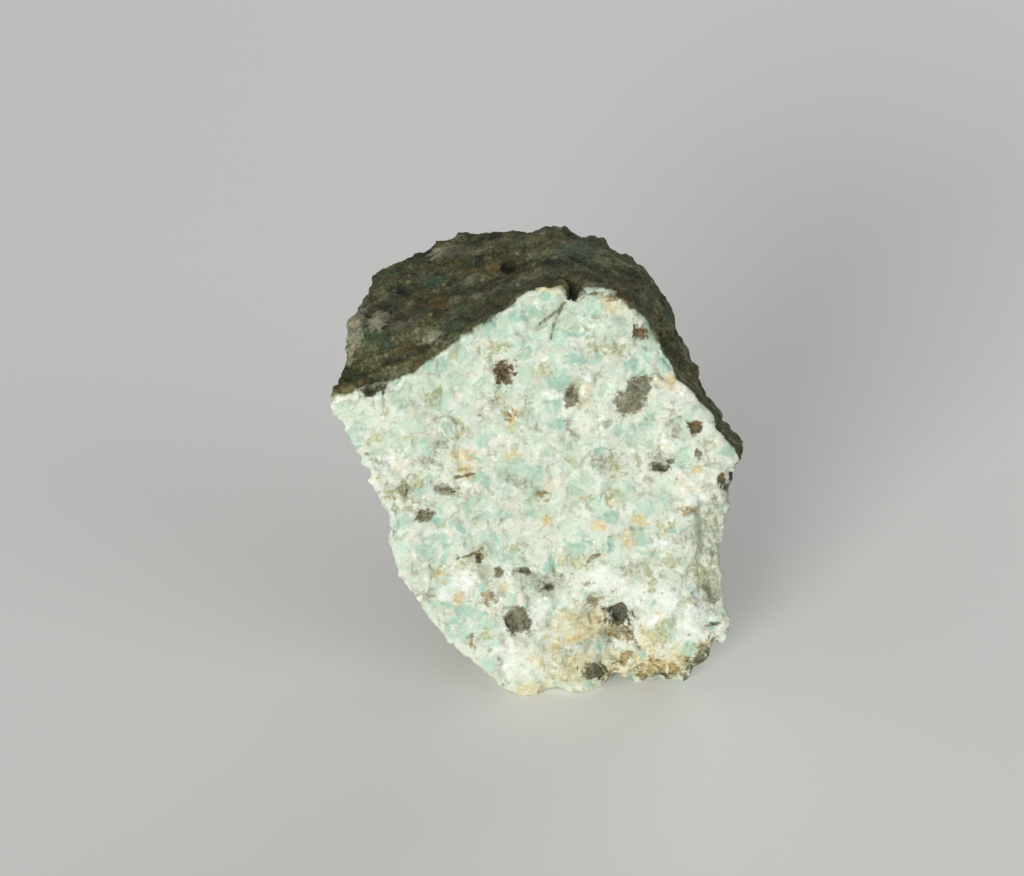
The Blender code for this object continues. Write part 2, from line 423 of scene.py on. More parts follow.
# Where the skin laps over the broken face on that side: photo pixels along each strip, then its half width
LAPS = (
    (((331, 388), (350, 384), (372, 378), (390, 370), (411, 362)), 13.0),
    (((411, 362), (429, 349), (452, 336), (474, 321), (493, 310)), 12.0),
    (((493, 310), (511, 298), (530, 286)), 7.0),
    (((622, 291), (646, 312), (660, 334)), 12.0),
)

# Painted shade, a darker mint, over the upper face and by the left rim, and iron stain, in the same form as
# the minerals' marks
SHADED_WASH = (
    ((555, 322), (70, 30), 10),
    ((425, 385), (40, 16), 20),
)
STAIN = (
    ((600, 668), (46, 16), 0),
    ((665, 664), (34, 14), 15),
    ((648, 640), (16, 14), 0),
    ((585, 625), (30, 16), 10),
    ((532, 690), (24, 8), 0),
    ((345, 388), (16, 5), 15),
    ((551, 288), (14, 5), 5),
    ((612, 305), (12, 6), -30),
)

MARKS = {
    "shaded_wash": SHADED_WASH,
    "teal": TEAL,
    "mint": MINT,
    "pale": PALE,
    "white": WHITE_AND_HIGHLIGHT,
    "smoky": SMOKY,
    "haze_and_shade": HAZE_AND_SHADE,
    "dark": DARK_AND_SHADE,
    "brown": BROWN,
    "umber_and_shade": UMBER_AND_SHADE,
    "ochre": OCHRE,
    "olive": OLIVE_AND_SHADE,
    "stain": STAIN,
}
OUTSIDE = -1.0  # the value of points that lie in no mark

# For each kind of marks (minerals, with painted shade and painted highlights in some): edge softness, edge
# fray, strength, then its darker and lighter colour on fresh rock, and its colour on the weathered skin
MARK_LOOKS = {
    "shaded_wash": (1.8, 1.4, 0.65, (164, 186, 162), (192, 210, 188), (110, 112, 88)),
    "pale": (0.6, 1.3, 0.8, (190, 208, 186), (208, 222, 202), (152, 155, 126)),
    "white": (0.8, 1.2, 0.85, (224, 231, 219), (236, 241, 233), (206, 204, 172)),
    "mint": (0.65, 1.2, 0.78, (171, 203, 183), (194, 218, 199), (112, 136, 112)),
    "teal": (0.7, 1.5, 0.78, (136, 181, 164), (171, 207, 189), (90, 120, 100)),
    "haze_and_shade": (0.9, 1.8, 0.88, (134, 138, 114), (190, 194, 172), (128, 126, 104)),
    "stain": (1.2, 1.8, 0.68, (206, 188, 128), (228, 218, 172), (140, 122, 78)),
    "olive": (0.9, 2.6, 0.7, (140, 142, 92), (196, 198, 158), (124, 122, 80)),
    "ochre": (1.1, 1.9, 0.7, (200, 168, 102), (222, 206, 152), (140, 116, 58)),
    "umber_and_shade": (0.8, 2.4, 0.85, (96, 82, 44), (170, 154, 104), (98, 82, 52)),
    "smoky": (0.4, 0.8, 0.96, (86, 83, 60), (136, 133, 106), (124, 120, 98)),
    "brown": (0.5, 1.1, 1.0, (54, 40, 20), (122, 104, 62), (88, 70, 46)),
    "dark": (0.6, 1.3, 0.95, (46, 42, 26), (114, 111, 84), (40, 44, 28)),
    # The crack colour also paints the shadow line under the crest
    "crack": (1.0, 1.6, 0.85, (62, 50, 26), (128, 118, 76), (60, 56, 36)),
}
MARKS_ON_SKIN = 0.85  # the share of a mark's strength that is left there

# Colour ramps, as (position, colour in 0 to 255)
GROUND = ((0.30, (218, 232, 217)), (0.44, (227, 232, 216)), (0.55, (220, 232, 217)), (0.68, (227, 224, 206)))
LARGE_CRYSTALS = (
    (0.0, (226, 232, 214)),
    (0.25, (194, 216, 194)),
    (0.45, (192, 206, 176)),
    (0.58, (176, 208, 188)),
    (0.76, (164, 201, 182)),
    (0.92, (150, 192, 175)),
)
SMALL_CRYSTALS = (
    (0.0, (234, 236, 220)),
    (0.35, (224, 216, 190)),
    (0.5, (186, 212, 192)),
    (0.72, (156, 200, 182)),
    (0.86, (176, 182, 150)),
)
ROCK_GRAIN = ((0.25, (228, 228, 222)), (0.7, (255, 255, 255)))
# The skin's ground is darker than its own olive grey: partly painted shade, standing for the shade on the top
SKIN_GROUND = ((0.36, (50, 50, 29)), (0.45, (84, 84, 51)), (0.53, (107, 107, 71)), (0.62, (147, 147, 112)))
SKIN_GRAIN = ((0.34, (150, 150, 140)), (0.60, (255, 255, 255)))

# Single colours, in 0 to 255
STREAK_COLOUR = (238, 240, 228)
DIRT_COLOUR = (150, 148, 104)
# Painted shade in the hollows of the relief
RECESS_SHADE_COLOUR = (158, 167, 140)
SPECK_COLOUR = (150, 156, 130)
ROCK_RUST_COLOUR = (216, 196, 148)
AGED_TINT = (212, 208, 186)
AGED_STAIN_COLOUR = (158, 142, 98)
GREY_FLECK_COLOUR = (142, 140, 116)
BROWN_FLECK_COLOUR = (88, 72, 42)
SKIN_GREEN_COLOUR = (78, 104, 78)
SKIN_RUST_COLOUR = (102, 80, 44)
DARK_FLECK_COLOUR = (50, 47, 30)
LIGHT_FLECK_COLOUR = (172, 168, 138)
FRINGE_COLOUR = (128, 138, 108)
FLOOR_COLOUR = (249, 248, 245)

# Patches of noise: how far off the noise is taken, its size in millimetres, its detail and roughness, and
# the values at which a patch begins and is full
PATCHES = {
    "dirt": (53.0, 2.4, 4.0, 0.65, 0.52, 0.62),
    "specks": (71.0, 1.7, 3.0, 0.6, 0.50, 0.62),
    "rock rust": (11.0, 1.2, 3.0, 0.6, 0.66, 0.76),
    "mottling": (3.0, 0.36, 3.0, 0.7, 0.36, 0.64),
    "aged stain": (19.0, 4.0, 4.0, 0.6, 0.35, 0.60),
    "skin green": (17.0, 2.8, 6.0, 0.65, 0.53, 0.60),
    "skin rust": (29.0, 2.3, 6.0, 0.7, 0.54, 0.62),
}

# Flecks: how far off their cells are taken, how far apart they lie and their radius in millimetres, and the
# share of the cells that hold none
FLECKS = {
    "grey": (43.0, 4.2, 1.0, 0.5),
    "brown": (61.0, 5.5, 0.8, 0.5),
    "dark": (0.0, 1.6, 0.38, 0.62),
    "light": (5.0, 1.1, 0.24, 0.62),
}

# Gloss and bump
CRYSTAL_ROUGHNESS = (0.4, 0.66)
CLEAVAGE_ROUGHNESS = 0.16
SKIN_ROUGHNESS = 0.92
FLOOR_ROUGHNESS = 0.85
BUMP_STRENGTH = 0.52
BUMP_CHIPS = (0.75, 0.16)
BUMP_SPLINTERS = (0.4, 0.2)
GRAIN_BUMP_SIZE, GRAIN_BUMP = 0.2, 0.05
PIT_SIZE, PIT_DEPTH = 0.9, 1.2

# The set, in metres and watts: each light's place, size, power and colour
FLOOR_SIZE = 6.0
LIGHTS_AIM = Vector((0.0, 0.0, 0.018))
LIGHTS = {
    "key light": ((-0.52, -1.24, 0.26), 0.6, 16.0, (1.0, 0.99, 0.97)),
    "fill light": ((0.7, -0.5, 0.4), 0.6, 1.1, (1.0, 1.0, 1.0)),
    "back light": ((0.35, 0.65, 0.22), 0.5, 1.6, (1.0, 1.0, 1.0)),
}
ROOM_COLOUR = (0.97, 0.98, 1.0, 1.0)
ROOM_STRENGTH = 0.3

NOISE_MIDDLE = (0.5, 0.5, 0.5)  # the mean of a noise or cell colour


def srgb(red, green, blue):
    """A colour given in 0 to 255 as the linear colour that a shader takes."""
    channels = [channel / 255.0 for channel in (red, green, blue)]
    linear = [c / 12.92 if c <= 0.04045 else ((c + 0.055) / 1.055) ** 2.4 for c in channels]
    return (*linear, 1.0)


# Camera, and what it sees of the stone


def make_camera():
    data = bpy.data.cameras.new("camera")
    data.sensor_width = SENSOR_WIDTH
    data.lens = FOCAL_PIXELS / PHOTO_WIDTH * SENSOR_WIDTH
    data.clip_start = 0.01
    data.clip_end = 20.0
    camera = bpy.data.objects.new("camera", data)
    camera.location = CAMERA_PLACE
    camera.rotation_euler = (math.pi / 2 - CAMERA_DROP, 0.0, 0.0)
    bpy.context.scene.collection.objects.link(camera)
    bpy.context.scene.camera = camera


def camera_axes():
    """The camera's forward, right and up directions."""
    forward = np.array((0.0, math.cos(CAMERA_DROP), -math.sin(CAMERA_DROP)))
    right = np.array((1.0, 0.0, 0.0))
    return forward, right, np.cross(right, forward)


def photo_pixels(places):
    """The pixel of the photograph at which each place is seen."""
    forward, right, up = camera_axes()
    seen = places * MM - np.array(CAMERA_PLACE)
    depth = seen @ forward
    across = PHOTO_WIDTH / 2 + FOCAL_PIXELS * (seen @ right) / depth
    down = PHOTO_HEIGHT / 2 - FOCAL_PIXELS * (seen @ up) / depth
    return np.stack((across, down), axis=1)


def facing_camera(places, normals):
    """The cosine between each point's normal and its direction to the camera."""
    towards = np.array(CAMERA_PLACE) - places * MM
    towards /= np.linalg.norm(towards, axis=1, keepdims=True)
    return np.einsum("ij,ij->i", normals, towards)


def inside_spot(pixels, middle, half_sizes, turn):
    """How far inside a spot each pixel is: 1 at its middle, 0 at its rim and less outside."""
    across, down = (pixels - np.array(middle)).T
    cosine, sine = math.cos(math.radians(turn)), math.sin(math.radians(turn))
    along = across * cosine - down * sine
    aside = across * sine + down * cosine
    return 1.0 - np.hypot(along / half_sizes[0], aside / half_sizes[1])


def inside_line(pixels, corners, half_width):
    """How far inside a line through these pixels each pixel is: 1 in its middle and 0 at its side."""
    nearest = np.full(len(pixels), np.inf)
    for start, end in zip(corners, corners[1:]):
        start, run = np.array(start), np.subtract(end, start)
        share = np.clip((pixels - start) @ run / (run @ run), 0.0, 1.0)
        away = pixels - start - share[:, None] * run
        nearest = np.minimum(nearest, np.hypot(*away.T))
    return 1.0 - nearest / half_width


# Helpers for node trees


def plug(tree, socket, value):
    if isinstance(value, bpy.types.NodeSocket):
        tree.links.new(value, socket)
    else:
        socket.default_value = value


def add_node(tree, kind, inputs=None, **settings):
    """A node with its settings made and its inputs set or linked."""
    made = tree.nodes.new(kind)
    for name, value in settings.items():
        setattr(made, name, value)
    for name, value in (inputs or {}).items():
        plug(tree, made.inputs[name], value)
    return made


def add_group(tree, group, **inputs):
    made = add_node(tree, "ShaderNodeGroup", node_tree=group)
    for name, value in inputs.items():
        plug(tree, made.inputs[name], value)
    return made.outputs


def maths(tree, operation, *values):
    made = add_node(tree, "ShaderNodeMath", operation=operation)
    for socket, value in zip(made.inputs, values):
        plug(tree, socket, value)
    return made.outputs[0]


def vector_maths(tree, operation, *values, scale=None, out="Vector"):
    made = add_node(tree, "ShaderNodeVectorMath", operation=operation)
    for socket, value in zip(made.inputs, values):
        plug(tree, socket, value)
    if scale is not None:
        plug(tree, made.inputs["Scale"], scale)
    return made.outputs[out]


def step_between(tree, value, low, high):
    """0 at low, 1 at high, and a smooth step between them."""
    inputs = {"Value": value, "From Min": low, "From Max": high}
    return add_node(tree, "ShaderNodeMapRange", inputs, interpolation_type="SMOOTHSTEP").outputs["Result"]


def mix_colours(tree, share, first, second, blend="MIX"):
    made = add_node(tree, "ShaderNodeMix", data_type="RGBA", blend_type=blend)
    plug(tree, made.inputs[0], share)
    plug(tree, made.inputs[6], first)
    plug(tree, made.inputs[7], second)
    return made.outputs[2]


def mix_values(tree, share, first, second):
    made = add_node(tree, "ShaderNodeMix", data_type="FLOAT")
    plug(tree, made.inputs[0], share)
    plug(tree, made.inputs[2], first)
    plug(tree, made.inputs[3], second)
    return made.outputs[0]


def noise(tree, place, size, detail=2.0, roughness=0.5, out="Fac"):
    """Noise whose features are about this many millimetres across."""
    inputs = {"Vector": place, "Scale": 1.0 / size, "Detail": detail, "Roughness": roughness}
    return add_node(tree, "ShaderNodeTexNoise", inputs).outputs[out]


def voronoi(tree, place, size):
    """Cells about this many millimetres across."""
    return add_node(tree, "ShaderNodeTexVoronoi", {"Vector": place, "Scale": 1.0 / size})


def ramp(tree, value, stops, interpolation="LINEAR"):
    """A colour ramp from stops of a position and a colour in 0 to 255."""
    made = add_node(tree, "ShaderNodeValToRGB", {"Fac": value})
    made.color_ramp.interpolation = interpolation
    elements = made.color_ramp.elements
    while len(elements) > 1:
        elements.remove(elements[-1])
    elements[0].position = stops[0][0]
    elements[0].color = srgb(*stops[0][1])
    for position, colour in stops[1:]:
        elements.new(position).color = srgb(*colour)
    return made.outputs["Color"]


def moved(tree, place, away):
    """The place moved far off, so that the same texture gives other features."""
    return vector_maths(tree, "ADD", place, (away, away * 0.7, away * 1.3))


def patchy(tree, place, kind):
    """Where patches of this kind lie, from 0 to 1."""
    away, size, detail, roughness, begins, full = PATCHES[kind]
    return step_between(tree, noise(tree, moved(tree, place, away), size, detail, roughness), begins, full)


def pushed_about(tree, place, size, detail, strength):
    """The place pushed about by noise of this size, at most by about half this strength."""
    push = vector_maths(tree, "SUBTRACT", noise(tree, place, size, detail, out="Color"), NOISE_MIDDLE)
    return vector_maths(tree, "ADD", place, vector_maths(tree, "SCALE", push, scale=strength))


def warped_place(tree, place):
    """The place pushed about a little, so that crystals aren't straight-sided."""
    return pushed_about(tree, place, WARP_SIZE, 1.0, WARP)


def roughened(tree, place):
    """The place pushed about by fine noise, so that crystals have ragged borders."""
    return pushed_about(tree, place, FRAY_SIZE, 2.0, FRAY)


def new_tree(name, kind, inputs, outputs):
    """An empty node group with named sockets, as (tree, its inputs, its output node)."""
    tree = bpy.data.node_groups.new(name, kind)
    for socket, socket_type in inputs.items():
        tree.interface.new_socket(socket, in_out="INPUT", socket_type=socket_type)
    for socket, socket_type in outputs.items():
        tree.interface.new_socket(socket, in_out="OUTPUT", socket_type=socket_type)
    given = tree.nodes.new("NodeGroupInput").outputs
    return tree, given, tree.nodes.new("NodeGroupOutput")


# The stone's shape


def only_select(thing):
    bpy.ops.object.select_all(action="DESELECT")
    thing.select_set(True)
    bpy.context.view_layer.objects.active = thing


def apply_last_modifier(thing):
    bpy.ops.object.modifier_apply(modifier=thing.modifiers[-1].name)


def smooth_over(thing, rounds):
    bpy.ops.object.modifier_add(type="SMOOTH")
    thing.modifiers[-1].iterations = rounds
    apply_last_modifier(thing)


def finer_copy():
    """A copy of the stone's solid on a fine, even grid, its coarse triangles smoothed over."""
    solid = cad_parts["amazonite"]
    stone = bpy.data.objects.new("rough_stone", solid.data.copy())
    bpy.context.scene.collection.objects.link(stone)
    only_select(stone)
    bpy.ops.object.mode_set(mode="EDIT")
    bpy.ops.mesh.select_all(action="SELECT")
    bpy.ops.mesh.remove_doubles(threshold=MERGE_DISTANCE * MM)
    bpy.ops.object.mode_set(mode="OBJECT")
    stone.data.remesh_voxel_size = FINE_GRID * MM
    bpy.ops.object.voxel_remesh()
    smooth_over(stone, SMOOTHING_ROUNDS)
    return stone


def vertex_places(stone):
    """Each vertex's place, in millimetres."""
    places = np.empty(len(stone.data.vertices) * 3, np.float32)
    stone.data.vertices.foreach_get("co", places)
    return places.reshape(-1, 3).astype(float) / MM


def vertex_normals(stone):
    normals = np.empty(len(stone.data.vertices) * 3, np.float32)
    stone.data.vertices.foreach_get("normal", normals)
    return normals.reshape(-1, 3).astype(float)


def store(stone, name, values):
    """Keeps a value for each vertex on the mesh, for the material to read."""
    attribute = stone.data.attributes.new(name, "FLOAT", "POINT")
    attribute.data.foreach_set("value", values.astype(np.float32))


def mark_skin(stone):
    """Stores how much of each point is weathered skin and how aged its break is, each from 0 to 1."""
    places, normals = vertex_places(stone), vertex_normals(stone)
    x, y, z = places.T
    behind = y - (FACE_LEAN * z + FACE_YAW * x + FACE_START)
    face_normal = np.array((-FACE_YAW, -1.0, FACE_LEAN))
    face_normal /= np.linalg.norm(face_normal)
    turned = 1.0 - normals @ face_normal
    off_face = behind * OFF_FACE_BY_DEPTH + turned * OFF_FACE_BY_TURN
    lowest = SKIN_FOOT - SKIN_FALL * behind - SKIN_BACK_FALL * np.maximum(0.0, behind - SKIN_BACK)
    lowest += SKIN_LEFT_RISE * np.maximum(0.0, -x - SKIN_LEFT)
    reach = SKIN_FADE + SKIN_FADE_GROWTH * np.clip(behind, 0.0, SKIN_FADE_DEPTH)
    high = np.clip((z - lowest + reach) / (2.0 * reach), 0.0, 1.0)
    skin = np.clip((off_face - OFF_FACE_FROM) / OFF_FACE_RANGE, 0.0, 1.0) * high
    pixels, seen = photo_pixels(places), facing_camera(places, normals) > 0.0
    for corners, half_width in LAPS:
        skin = np.maximum(skin, np.where(seen, inside_line(pixels, corners, half_width), 0.0))
    store(stone, "skin", skin)
    store(stone, "aged", np.clip((behind - AGED_FROM) / (AGED_TO - AGED_FROM), 0.0, 1.0))


def smooth_share(inside):
    """A weight that rises smoothly from 0 at a spot's rim to 1 near its middle."""
    share = np.clip(inside * 1.3, 0.0, 1.0)
    return share * share * (3.0 - 2.0 * share)


def nudge_outline(stone):
    """Shifts the surface a little across the camera's view, where the outline needs it."""
    places = vertex_places(stone)
    pixels = photo_pixels(places)
    _, right, up = camera_axes()
    pixel_size = CAMERA_PLACE.length / MM / FOCAL_PIXELS
    for middle, half_sizes, turn, (across, down) in NUDGES:
        shift = (right * across - up * down) * pixel_size
        places += smooth_share(inside_spot(pixels, middle, half_sizes, turn))[:, None] * shift
    keep_on_ground(stone, places)


def keep_on_ground(stone, places):
    """Moves the vertices to these places, but leaves those of the flat resting spot and goes no lower."""
    before = vertex_places(stone)
    resting = before[:, 2] < RESTING_HEIGHT
    places[resting] = before[resting]
    places[:, 2] = np.maximum(places[:, 2], 0.0)
    stone.data.vertices.foreach_set("co", (places * MM).astype(np.float32).ravel())
    stone.data.update()


def carve(stone):
    """Pushes the hollows and cracks away from the camera and pulls the lumps towards it."""
    places, normals = vertex_places(stone), vertex_normals(stone)
    pixels, facing = photo_pixels(places), facing_camera(places, normals)
    depth = np.zeros(len(places))
    for middle, half_sizes, turn, deep in DENTS:
        depth += deep * smooth_share(inside_spot(pixels, middle, half_sizes, turn))
    for corners, half_width in CRACKS_AND_SHADOW_LINE:
        depth += CRACK_DEPTH * np.clip(inside_line(pixels, corners, half_width * CRACK_FLARE), 0.0, 1.0)
    depth *= np.clip(facing * 3.0 - 0.2, 0.0, 1.0) * np.clip(places[:, 2] / CARVING_FADE, 0.0, 1.0)
    keep_on_ground(stone, places + camera_axes()[0] * depth[:, None])


def store_marks(stone):
    """Stores how far inside each kind's nearest mark and dark line a point is, and which points go unseen."""
    places = vertex_places(stone)
    pixels, facing = photo_pixels(places), facing_camera(places, vertex_normals(stone))
    for mark_kind, marks in MARKS.items():
        field = np.full(len(places), OUTSIDE)
        for middle, half_sizes, turn in marks:
            field = np.maximum(field, inside_spot(pixels, middle, half_sizes, turn))
        store(stone, mark_kind, np.where(facing > 0.0, field, OUTSIDE))
    cracks_and_shadow_line = np.full(len(places), OUTSIDE)
    for corners, half_width in CRACKS_AND_SHADOW_LINE:
        cracks_and_shadow_line = np.maximum(cracks_and_shadow_line, inside_line(pixels, corners, half_width))
    store(stone, "crack", np.where(facing > 0.0, cracks_and_shadow_line, OUTSIDE))
    store(stone, "unseen", np.clip(0.5 - facing * 2.5, 0.0, 1.0))


def facet_height(tree, place, size, tilt):
    """Height of flat, tilted facets, one for each crystal."""
    cells = voronoi(tree, place, size)
    offset = vector_maths(tree, "SUBTRACT", place, cells.outputs["Position"])
    slope = vector_maths(tree, "SUBTRACT", cells.outputs["Color"], NOISE_MIDDLE)
    return maths(tree, "MULTIPLY", vector_maths(tree, "DOT_PRODUCT", slope, offset, out="Value"), tilt * 2.0)


def keep_value(tree, geometry, name, value, kind):
    inputs = {"Geometry": geometry, "Name": name, "Value": value}
    settings = {"data_type": kind, "domain": "POINT"}
    return add_node(tree, "GeometryNodeStoreNamedAttribute", inputs, **settings).outputs[0]


def relief_tree():
    """Geometry nodes that keep each point's place in millimetres, then raise the fine relief."""
    sockets = {"Geometry": "NodeSocketGeometry"}
    tree, given, made = new_tree("fine relief", "GeometryNodeTree", sockets, sockets)
    position = add_node(tree, "GeometryNodeInputPosition").outputs[0]
    place = vector_maths(tree, "SCALE", position, scale=1.0 / MM)
    warped = warped_place(tree, place)
    skin = add_node(tree, "GeometryNodeInputNamedAttribute", {"Name": "skin"}, data_type="FLOAT").outputs[0]
    grains = facet_height(tree, warped, GRAIN_SIZE, GRAIN_TILT)
    chips = facet_height(tree, warped, CHIP_SIZE, CHIP_TILT)
    left = mix_values(tree, skin, 1.0, FACETS_ON_SKIN)
    facets = maths(tree, "MULTIPLY", maths(tree, "ADD", grains, chips), left)
    rough = maths(tree, "SUBTRACT", noise(tree, place, ROUGH_SIZE, 4.0, 0.6), 0.5)
    lumpy = maths(tree, "SUBTRACT", noise(tree, moved(tree, place, 3.0), LUMP_SIZE, 3.0, 0.6), 0.5)
    worn = maths(tree, "ADD", maths(tree, "MULTIPLY", lumpy, LUMP_HEIGHT), rough)
    worn = maths(tree, "MULTIPLY", worn, maths(tree, "MULTIPLY", skin, SKIN_RELIEF))
    everywhere = maths(tree, "MULTIPLY", rough, ROUGH_HEIGHT)
    height = maths(tree, "ADD", facets, maths(tree, "ADD", everywhere, worn))
    above = add_node(tree, "ShaderNodeSeparateXYZ", {0: place}).outputs["Z"]
    height = maths(tree, "MULTIPLY", height, step_between(tree, above, CALM_FROM, CALM_HEIGHT))
    kept = keep_value(tree, given[0], "place", place, "FLOAT_VECTOR")
    kept = keep_value(tree, kept, "relief", height, "FLOAT")
    normal = add_node(tree, "GeometryNodeInputNormal").outputs[0]
    offset = vector_maths(tree, "SCALE", normal, scale=maths(tree, "MULTIPLY", height, MM))
    raised = add_node(tree, "GeometryNodeSetPosition", {"Geometry": kept, "Offset": offset})
    plug(tree, made.inputs[0], raised.outputs[0])
    return tree


def raise_relief(stone):
    bpy.ops.object.modifier_add(type="NODES")
    stone.modifiers[-1].node_group = relief_tree()
    apply_last_modifier(stone)


def make_stone():
    stone = finer_copy()
    nudge_outline(stone)
    mark_skin(stone)
    carve(stone)
    store_marks(stone)
    raise_relief(stone)
    bpy.ops.object.shade_smooth_by_angle(angle=SHARP_ANGLE)
    return stone


# Materials


COLOUR = "NodeSocketColor"
VALUE = "NodeSocketFloat"
VECTOR = "NodeSocketVector"


def crystal_group():
    """Crystals of one size: two random values for each, and how far inside its border a point is."""
    inputs = {"Place": VECTOR, "Size": VALUE, "Border": VALUE}
    outputs = {"Pick": VALUE, "Shade": VALUE, "Body": VALUE}
    tree, given, made = new_tree("crystals", "ShaderNodeTree", inputs, outputs)
    cell_inputs = {"Vector": given["Place"], "Scale": maths(tree, "DIVIDE", 1.0, given["Size"])}
    cells = add_node(tree, "ShaderNodeTexVoronoi", cell_inputs)
    borders = add_node(tree, "ShaderNodeTexVoronoi", cell_inputs, feature="DISTANCE_TO_EDGE")
    random = add_node(tree, "ShaderNodeSeparateColor", {0: cells.outputs["Color"]}).outputs
    inside = maths(tree, "MULTIPLY", borders.outputs["Distance"], given["Size"])
    plug(tree, made.inputs["Pick"], random[0])
    plug(tree, made.inputs["Shade"], random[1])
    plug(tree, made.inputs["Body"], step_between(tree, inside, 0.0, given["Border"]))
    return tree


def mark_group():
    """A mark's mask from how far inside it a point is, with a frayed or soft edge."""
    inputs = {"Inside": VALUE, "Noise": VALUE, "Fray": VALUE, "Softness": VALUE}
    tree, given, made = new_tree("mark", "ShaderNodeTree", inputs, {"Mask": VALUE})
    frayed = maths(tree, "MULTIPLY", maths(tree, "SUBTRACT", given["Noise"], 0.5), given["Fray"])
    inside = maths(tree, "ADD", given["Inside"], frayed)
    outer = maths(tree, "MULTIPLY", given["Softness"], -0.4)
    inner = maths(tree, "MULTIPLY", given["Softness"], 0.6)
    plug(tree, made.inputs["Mask"], step_between(tree, inside, outer, inner))
    return tree


def fresh_rock_group(crystal_tree):
    """The broken rock: mint and pale feldspar crystals in a cream white ground."""
    inputs = {"Place": VECTOR, "Warped": VECTOR, "Relief": VALUE}
    outputs = {"Colour": COLOUR, "Roughness": VALUE}
    tree, given, made = new_tree("fresh rock", "ShaderNodeTree", inputs, outputs)
    place, warped = given["Place"], given["Warped"]
    fine = noise(tree, place, 0.28, 3.0, 0.65)
    colour = ramp(tree, noise(tree, place, 2.6, 4.0, 0.55), GROUND)
    large = add_group(tree, crystal_tree, Place=warped, Size=GRAIN_SIZE, Border=0.45)
    large_colour = ramp(tree, large["Pick"], LARGE_CRYSTALS, "CONSTANT")
    colour = mix_colours(tree, veil(tree, large, fine, 0.25), colour, large_colour)
    small = add_group(tree, crystal_tree, Place=moved(tree, warped, 31.0), Size=CHIP_SIZE * 1.2, Border=0.2)
    small_colour = ramp(tree, small["Pick"], SMALL_CRYSTALS, "CONSTANT")
    colour = mix_colours(tree, veil(tree, small, fine, 0.45), colour, small_colour)
    stretched = vector_maths(tree, "MULTIPLY", moved(tree, warped, 7.0), (3.4, 3.4, 1.0))
    streaks = step_between(tree, noise(tree, stretched, 1.3, 3.0, 0.6), 0.56, 0.68)
    colour = mix_colours(tree, maths(tree, "MULTIPLY", streaks, 0.3), colour, srgb(*STREAK_COLOUR))
    lines = maths(tree, "SUBTRACT", 1.0, small["Body"])
    dirt = maths(tree, "MULTIPLY", lines, maths(tree, "MULTIPLY", patchy(tree, place, "dirt"), 0.55))
    colour = mix_colours(tree, dirt, colour, srgb(*DIRT_COLOUR))
    # Painted shade: a grey green where the relief sinks into recesses
    recess_shade = step_between(tree, given["Relief"], -0.04, -0.16)
    colour = mix_colours(tree, maths(tree, "MULTIPLY", recess_shade, 0.15), colour, srgb(*RECESS_SHADE_COLOUR))
    specks = maths(tree, "MULTIPLY", step_between(tree, fine, 0.44, 0.32), 0.5)
    speckled = maths(tree, "MULTIPLY", specks, patchy(tree, place, "specks"))
    colour = mix_colours(tree, speckled, colour, srgb(*SPECK_COLOUR))
    rusty = maths(tree, "MULTIPLY", patchy(tree, place, "rock rust"), 0.5)
    colour = mix_colours(tree, rusty, colour, srgb(*ROCK_RUST_COLOUR))
    colour = mix_colours(tree, 1.0, colour, ramp(tree, fine, ROCK_GRAIN), "MULTIPLY")
    plug(tree, made.inputs["Colour"], colour)
    shiny = step_between(tree, small["Shade"], 0.86, 0.9)
    dull = mix_values(tree, large["Shade"], *CRYSTAL_ROUGHNESS)
    plug(tree, made.inputs["Roughness"], mix_values(tree, shiny, dull, CLEAVAGE_ROUGHNESS))
    return tree


def veil(tree, layer, fine, least):
    """How strongly a crystal's own colour shows: none for the lowest shades, clouded by fine noise."""
    shown = step_between(tree, layer["Shade"], least, least + 0.5)
    clouded = maths(tree, "MULTIPLY", shown, step_between(tree, fine, 0.2, 0.55))
    return maths(tree, "MULTIPLY", clouded, layer["Body"])


def flecks(tree, place, kind):
    """Where small round flecks of this kind lie, from 0 to 1, with ragged edges."""
    away, spacing, radius, rarity = FLECKS[kind]
    place = moved(tree, place, away)
    ragged = maths(tree, "ADD", maths(tree, "MULTIPLY", noise(tree, place, radius, 3.0), 1.8), 0.1)
    cells = voronoi(tree, place, spacing)
    chosen = add_node(tree, "ShaderNodeSeparateColor", {0: cells.outputs["Color"]}).outputs[0]
    distance = maths(tree, "MULTIPLY", maths(tree, "MULTIPLY", cells.outputs["Distance"], spacing), ragged)
    mask = step_between(tree, distance, radius, radius * 0.5)
    return maths(tree, "MULTIPLY", mask, maths(tree, "GREATER_THAN", chosen, rarity))


def weathered_skin_group():
    """The old outer skin: dull olive grey with brown, rusty and green patches, and its fine dark grain."""
    outputs = {"Colour": COLOUR, "Grain": COLOUR}
    tree, given, made = new_tree("weathered skin", "ShaderNodeTree", {"Place": VECTOR}, outputs)
    place = given["Place"]
    # The ground colour is partly painted shade: darker than the skin's own colour
    colour = ramp(tree, noise(tree, place, 2.4, 8.0, 0.7), SKIN_GROUND)
    green = maths(tree, "MULTIPLY", patchy(tree, place, "skin green"), 0.6)
    colour = mix_colours(tree, green, colour, srgb(*SKIN_GREEN_COLOUR))
    rusty = maths(tree, "MULTIPLY", patchy(tree, place, "skin rust"), 0.6)
    colour = mix_colours(tree, rusty, colour, srgb(*SKIN_RUST_COLOUR))
    colour = mix_colours(tree, flecks(tree, place, "dark"), colour, srgb(*DARK_FLECK_COLOUR))
    light_flecks = maths(tree, "MULTIPLY", flecks(tree, place, "light"), 0.8)
    colour = mix_colours(tree, light_flecks, colour, srgb(*LIGHT_FLECK_COLOUR))
    grainy = ramp(tree, noise(tree, place, 0.3, 5.0, 0.8), SKIN_GRAIN)
    plug(tree, made.inputs["Colour"], colour)
    plug(tree, made.inputs["Grain"], grainy)
    return tree


